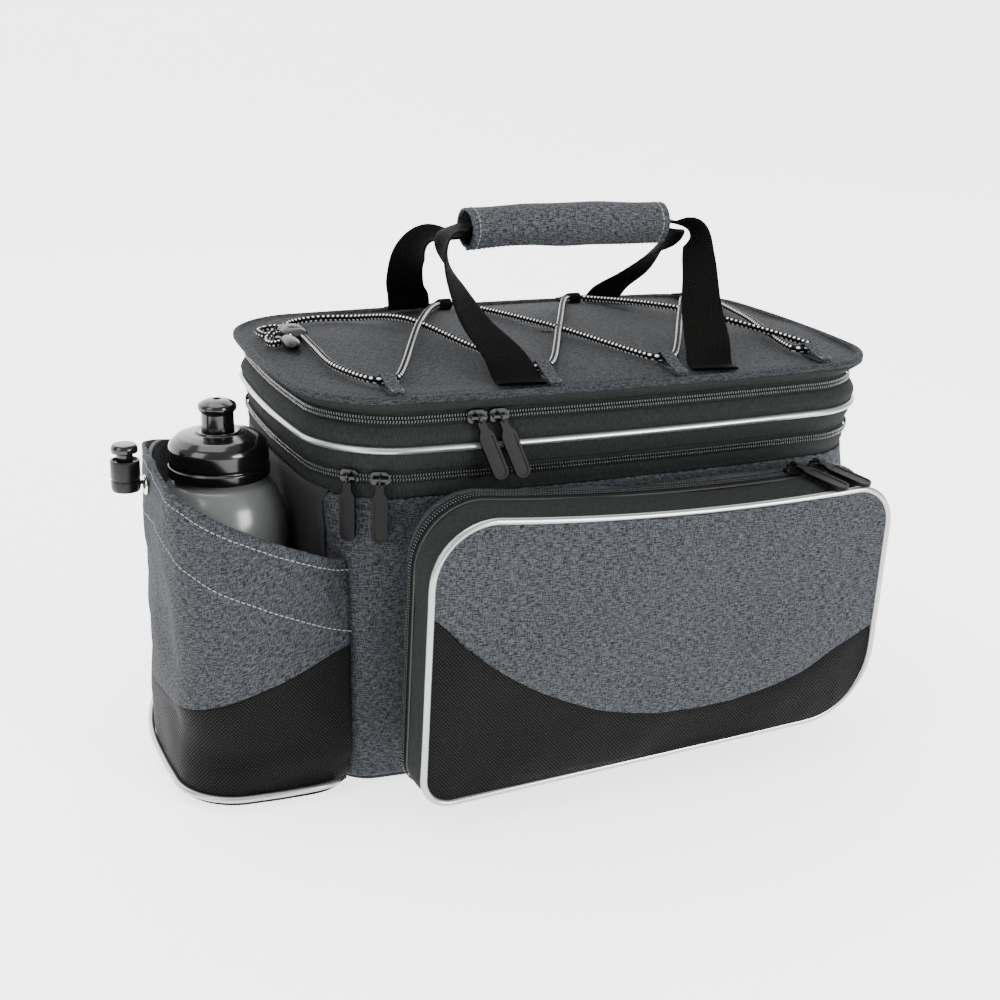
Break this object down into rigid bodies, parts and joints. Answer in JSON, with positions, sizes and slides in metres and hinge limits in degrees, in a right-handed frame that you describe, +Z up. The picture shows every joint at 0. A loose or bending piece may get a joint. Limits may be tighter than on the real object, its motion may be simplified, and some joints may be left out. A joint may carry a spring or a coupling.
{
  "type": "bicycle trunk bag",
  "caption": "Soft bicycle trunk bag with a zipped lid laced with elastic cord, zipped side pockets, a webbing handle and a bottle pocket holding a bottle.",
  "frame": {"origin": "centre of the main body's base where it rests on the carrier", "axes": "+X along the bag away from the bottle pocket, -Y towards the near side pocket, +Z up"},
  "size_m": [0.4549, 0.347, 0.3087],
  "materials": {
    "black_metal": "glossy black enamel",
    "black_plastic": "glossy",
    "black_weave": "coarse black weave",
    "bright_metal": "bright nickel",
    "charcoal_band": "dark ribbed knit and zip tape",
    "cord": "black braid with light flecks",
    "dark_rubber": "matte",
    "silver_piping": "satin silver reflective piping",
    "slate_cloth": "grey melange woven cloth",
    "smoked_plastic": "smoky translucent",
    "webbing": "dark brown-black ribbed webbing"
  },
  "bodies": {
    "bag": {"base_panel": "black_weave", "bottle_body": "smoked_plastic", "bottle_cap": "black_plastic", "bottle_pocket_drawcord": "cord", "bottle_pocket_eyelet": "bright_metal", "bottle_pocket_floor": "black_weave", "bottle_pocket_piping": "silver_piping", "bottle_pocket_skirt": "black_weave", "bottle_pocket_wall": "slate_cloth", "bungee_cord": "cord", "cord_lock_barrel": "black_plastic", "cord_lock_button": "black_plastic", "expansion_slider_1": "black_metal", "expansion_slider_2": "black_metal", "expansion_zip": "charcoal_band", "far_loop_1": "black_weave", "far_loop_2": "black_weave", "far_loop_3": "black_weave", "far_pocket_band": "charcoal_band", "far_pocket_face": "slate_cloth", "far_pocket_gusset": "slate_cloth", "far_pocket_lower_panel": "black_weave", "far_pocket_piping": "silver_piping", "far_pocket_slider_1": "black_metal", "far_pocket_zip": "charcoal_band", "far_strap": "webbing", "handle_grip": "slate_cloth", "lid_band": "charcoal_band", "lid_cord_lock": "black_plastic", "lid_cord_lock_knob": "black_plastic", "lid_panel": "slate_cloth", "lid_slider_1": "black_metal", "lid_slider_2": "black_metal", "lid_zip": "charcoal_band", "lower_band": "charcoal_band", "main_body": "slate_cloth", "middle_band": "charcoal_band", "near_loop_1": "slate_cloth", "near_loop_2": "slate_cloth", "near_loop_3": "slate_cloth", "near_loop_4": "slate_cloth", "near_pocket_band": "charcoal_band", "near_pocket_face": "slate_cloth", "near_pocket_gusset": "slate_cloth", "near_pocket_lower_panel": "black_weave", "near_pocket_piping": "silver_piping", "near_pocket_slider_1": "black_metal", "near_pocket_slider_2": "black_metal", "near_pocket_zip": "charcoal_band", "near_strap": "webbing", "reflective_ring": "silver_piping", "upper_band": "charcoal_band"},
    "expansion_pull_1": {"expansion_pull_1": "dark_rubber"},
    "expansion_pull_2": {"expansion_pull_2": "dark_rubber"},
    "far_pocket_pull_1": {"far_pocket_pull_1": "dark_rubber"},
    "lid_pull_1": {"lid_pull_1": "dark_rubber"},
    "lid_pull_2": {"lid_pull_2": "dark_rubber"},
    "near_pocket_pull_1": {"near_pocket_pull_1": "dark_rubber"},
    "near_pocket_pull_2": {"near_pocket_pull_2": "dark_rubber"},
    "spout": {"bottle_spout": "black_plastic"}
  },
  "joints": [
    {"name": "expansion_pull_1_swing", "type": "hinge", "parent": "bag", "child": "expansion_pull_1", "pos_m": [-0.15927, -0.09835, 0.1829], "axis": [-0.7452, 0.6668, 0], "range_deg": [0, 110]},
    {"name": "expansion_pull_2_swing", "type": "hinge", "parent": "bag", "child": "expansion_pull_2", "pos_m": [-0.14449, -0.10822, 0.1829], "axis": [-0.9135, 0.4069, 0], "range_deg": [0, 110]},
    {"name": "far_pocket_pull_1_swing", "type": "hinge", "parent": "bag", "child": "far_pocket_pull_1", "pos_m": [0.092, 0.14065, 0.17883], "axis": [1, 0, 0], "range_deg": [0, 100]},
    {"name": "lid_pull_1_swing", "type": "hinge", "parent": "bag", "child": "lid_pull_1", "pos_m": [-0.09175, -0.11513, 0.2146], "axis": [-0.9987, 0.0505, 0], "range_deg": [0, 110]},
    {"name": "lid_pull_2_swing", "type": "hinge", "parent": "bag", "child": "lid_pull_2", "pos_m": [-0.07925, -0.11576, 0.2146], "axis": [-0.9987, 0.0505, 0], "range_deg": [0, 110]},
    {"name": "near_pocket_pull_1_swing", "type": "hinge", "parent": "bag", "child": "near_pocket_pull_1", "pos_m": [0.092, -0.14065, 0.17883], "axis": [-1, 0, 0], "range_deg": [0, 100]},
    {"name": "near_pocket_pull_2_swing", "type": "hinge", "parent": "bag", "child": "near_pocket_pull_2", "pos_m": [0.107, -0.14065, 0.17938], "axis": [-1, 0, 0], "range_deg": [0, 100]},
    {"name": "spout_slide", "type": "slide", "parent": "bag", "child": "spout", "axis": [0, 0, 1], "range_m": [0, 0.006]}
  ]
}
